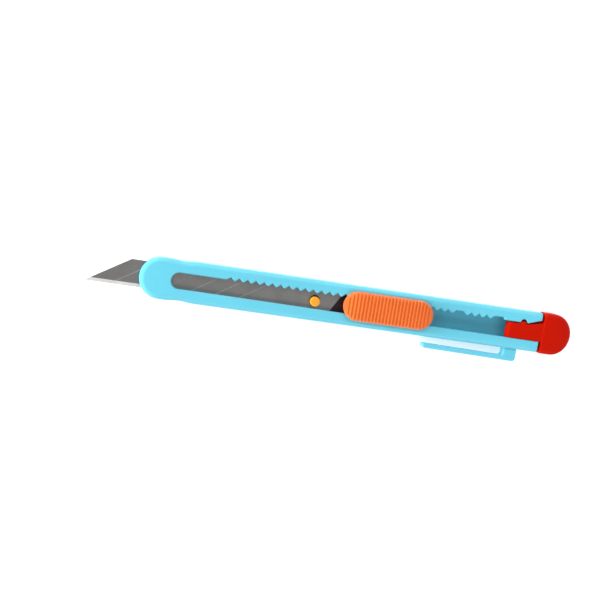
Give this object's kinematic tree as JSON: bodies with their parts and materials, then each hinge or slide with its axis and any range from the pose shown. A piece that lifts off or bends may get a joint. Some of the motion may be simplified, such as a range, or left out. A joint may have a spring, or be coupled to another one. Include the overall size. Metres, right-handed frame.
{
  "type": "snap-off utility knife",
  "caption": "Slim snap-off utility knife with a toothed slot, ribbed thumb slider, sliding segmented blade, side pocket clip and pull-off end cap.",
  "frame": {"origin": "on the handle's flat back face, on its centre line, half way along the handle moulding", "axes": "+X along the handle towards the end cap (the blade leaves towards -X), +Y towards the blade's spine, +Z out of the face with the thumb slider"},
  "size_m": [0.1694, 0.0186, 0.0092],
  "materials": {
    "blue_plastic": "satin moulded",
    "red_plastic": "satin moulded",
    "orange_plastic": "satin moulded, ribbed grip",
    "black_plastic": "matt moulded",
    "spring_steel": "bright rolled",
    "blade_steel": "fine ground, with a polished bevel"
  },
  "bodies": {
    "handle": {"handle_body": "blue_plastic"},
    "clip": {"pocket_clip": "blue_plastic"},
    "cap": {"end_cap": "red_plastic"},
    "slider": {"thumb_slider": "orange_plastic", "blade_carrier": "black_plastic", "blade_peg": "orange_plastic", "blade_segment_1": "blade_steel", "blade_segment_2": "blade_steel", "blade_segment_3": "blade_steel", "blade_segment_4": "blade_steel", "blade_segment_5": "blade_steel", "blade_segment_6": "blade_steel", "blade_tail": "blade_steel"},
    "detent": {"lock_spring": "spring_steel"}
  },
  "joints": [
    {"name": "slider_travel", "type": "slide", "parent": "handle", "child": "slider", "axis": [-1, 0, 0], "range_m": [-0.02248, 0.04496]},
    {"name": "spring_flex", "type": "slide", "parent": "slider", "child": "detent", "axis": [0, -1, 0], "range_m": [0, 0.0012], "stiffness_N_per_m": 2000},
    {"name": "cap_pull", "type": "slide", "parent": "handle", "child": "cap", "axis": [1, 0, 0], "range_m": [0, 0.03]},
    {"name": "clip_flex", "type": "hinge", "parent": "handle", "child": "clip", "pos_m": [0.063, -0.007, 0.0032], "axis": [0, 0, 1], "range_deg": [0, 4], "stiffness_Nm_per_rad": 2}
  ]
}
